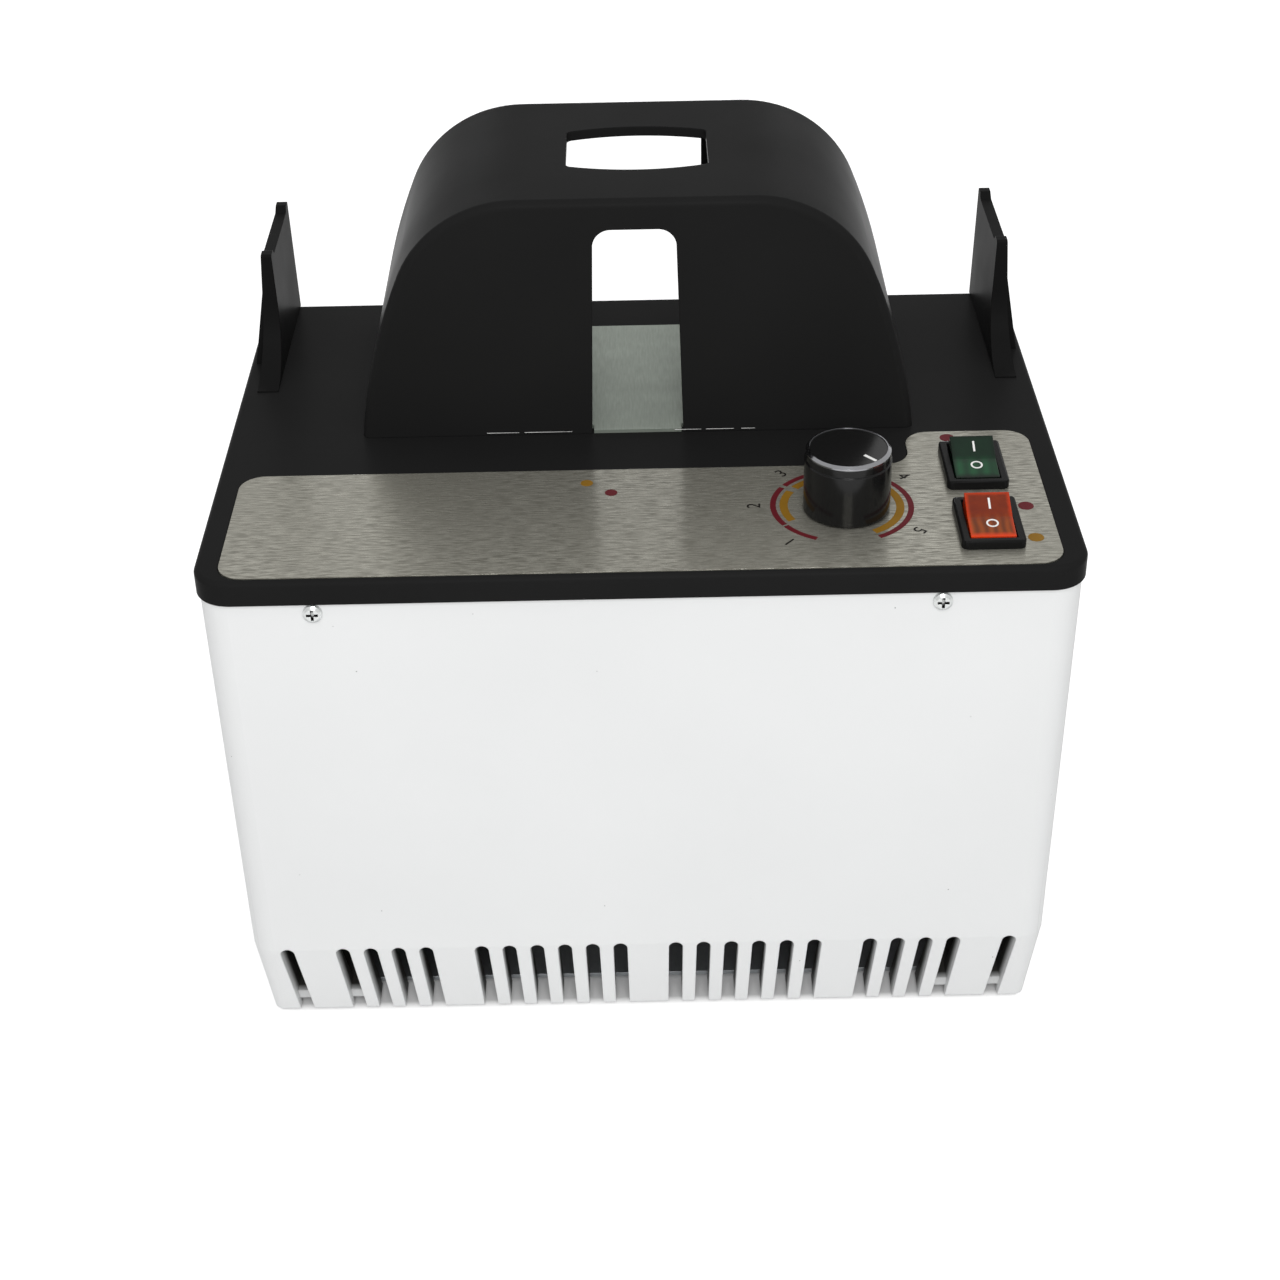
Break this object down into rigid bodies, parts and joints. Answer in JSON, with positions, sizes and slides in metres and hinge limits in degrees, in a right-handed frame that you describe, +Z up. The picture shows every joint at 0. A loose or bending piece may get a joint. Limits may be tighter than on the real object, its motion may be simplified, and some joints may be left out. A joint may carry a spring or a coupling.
{
  "type": "eyeglass frame warmer",
  "caption": "Counter-top hot-air warmer for eyeglass frames: slotted hood over a channel, side cradles, control panel with knob and rocker switches, comb-skirted box.",
  "frame": {"origin": "centre of the box's outline on the surface that its feet rest on", "axes": "+X to the right along the control panel, +Y away from the control-panel side, +Z up"},
  "size_m": [0.21, 0.1498, 0.2025],
  "materials": {
    "white_housing": "satin, finely grained white moulding",
    "black_cover": "semi-gloss black moulding",
    "black_hood": "semi-gloss black moulding",
    "black_cradle": "gloss black moulding",
    "panel_steel": "brushed along the panel's length",
    "floor_steel": "dull sheet steel",
    "duct_sheet": "dark heat-proof paint",
    "grille_sheet": "dark heat-proof paint",
    "galvanised_sheet": "galvanised sheet",
    "foot_rubber": "matt black rubber",
    "screw_steel": "bright zinc plate",
    "knob_black": "satin black moulding",
    "knob_aluminium": "turned bright ring",
    "pointer_white": "white inlay",
    "pot_steel": "plated steel can",
    "pot_shaft": "turned shaft",
    "switch_black": "gloss black moulding",
    "rocker_green": "translucent green moulding",
    "rocker_orange": "translucent orange moulding",
    "terminal_brass": "tinned brass blades",
    "fan_black": "glass-filled black moulding",
    "motor_core": "wound laminated core",
    "bearing_brass": "sintered bearing",
    "shaft_steel": "ground steel",
    "post_aluminium": "turned spacers",
    "mica": "layered mica sheet",
    "heating_ribbon": "resistance ribbon",
    "cutout_case": "pressed steel cap",
    "board_green": "green laminate",
    "capacitor_yellow": "yellow moulded case",
    "sink_aluminium": "black anodised",
    "inlet_black": "black moulding"
  },
  "bodies": {
    "base": {"lower_housing": "white_housing", "base_plate": "galvanised_sheet", "rubber_feet": "foot_rubber", "base_screws": "screw_steel", "top_cover": "black_cover", "cover_screws": "screw_steel", "air_hood": "black_hood", "hood_screws": "screw_steel", "channel_floor_plate": "floor_steel", "left_air_duct": "duct_sheet", "right_air_duct": "duct_sheet", "left_portal_grille": "grille_sheet", "right_portal_grille": "grille_sheet", "left_cradle": "black_cradle", "right_cradle": "black_cradle", "control_panel": "panel_steel", "potentiometer_body": "pot_steel", "potentiometer_nut": "screw_steel", "power_switch_body": "switch_black", "power_switch_terminals": "terminal_brass", "temperature_switch_body": "switch_black", "temperature_switch_terminals": "terminal_brass", "fan_frame": "fan_black", "fan_motor_core": "motor_core", "fan_bearing": "bearing_brass", "fan_standoffs": "post_aluminium", "heater_shroud": "galvanised_sheet", "heater_frame": "mica", "heater_coils": "heating_ribbon", "thermal_cutout": "cutout_case", "air_splitter": "galvanised_sheet", "control_board": "board_green", "board_standoffs": "post_aluminium", "triac_heatsink": "sink_aluminium", "board_capacitor": "capacitor_yellow", "power_inlet": "inlet_black", "inlet_pins": "terminal_brass", "inlet_screws": "screw_steel"},
    "knob": {"knob_body": "knob_black", "knob_ring": "knob_aluminium", "knob_pointer": "pointer_white", "potentiometer_shaft": "pot_shaft"},
    "power_rocker": {"power_switch_rocker": "rocker_green"},
    "temperature_rocker": {"temperature_switch_rocker": "rocker_orange"},
    "fan_rotor": {"fan_impeller": "fan_black", "fan_shaft": "shaft_steel"}
  },
  "joints": [
    {"name": "knob_turn", "type": "hinge", "parent": "base", "child": "knob", "pos_m": [0.05, -0.0455, 0.1392], "axis": [0, 0, 1], "range_deg": [-11, 289]},
    {"name": "power_rocker_tilt", "type": "hinge", "parent": "base", "child": "power_rocker", "pos_m": [0.083, -0.0276, 0.1383], "axis": [-1, 0, 0], "range_deg": [0, 26]},
    {"name": "temperature_rocker_tilt", "type": "hinge", "parent": "base", "child": "temperature_rocker", "pos_m": [0.083, -0.0556, 0.1383], "axis": [-1, 0, 0], "range_deg": [0, 26]},
    {"name": "fan_spin", "type": "hinge", "parent": "base", "child": "fan_rotor", "pos_m": [0, 0.009, 0.05], "axis": [0, 0, 1], "continuous": true}
  ]
}
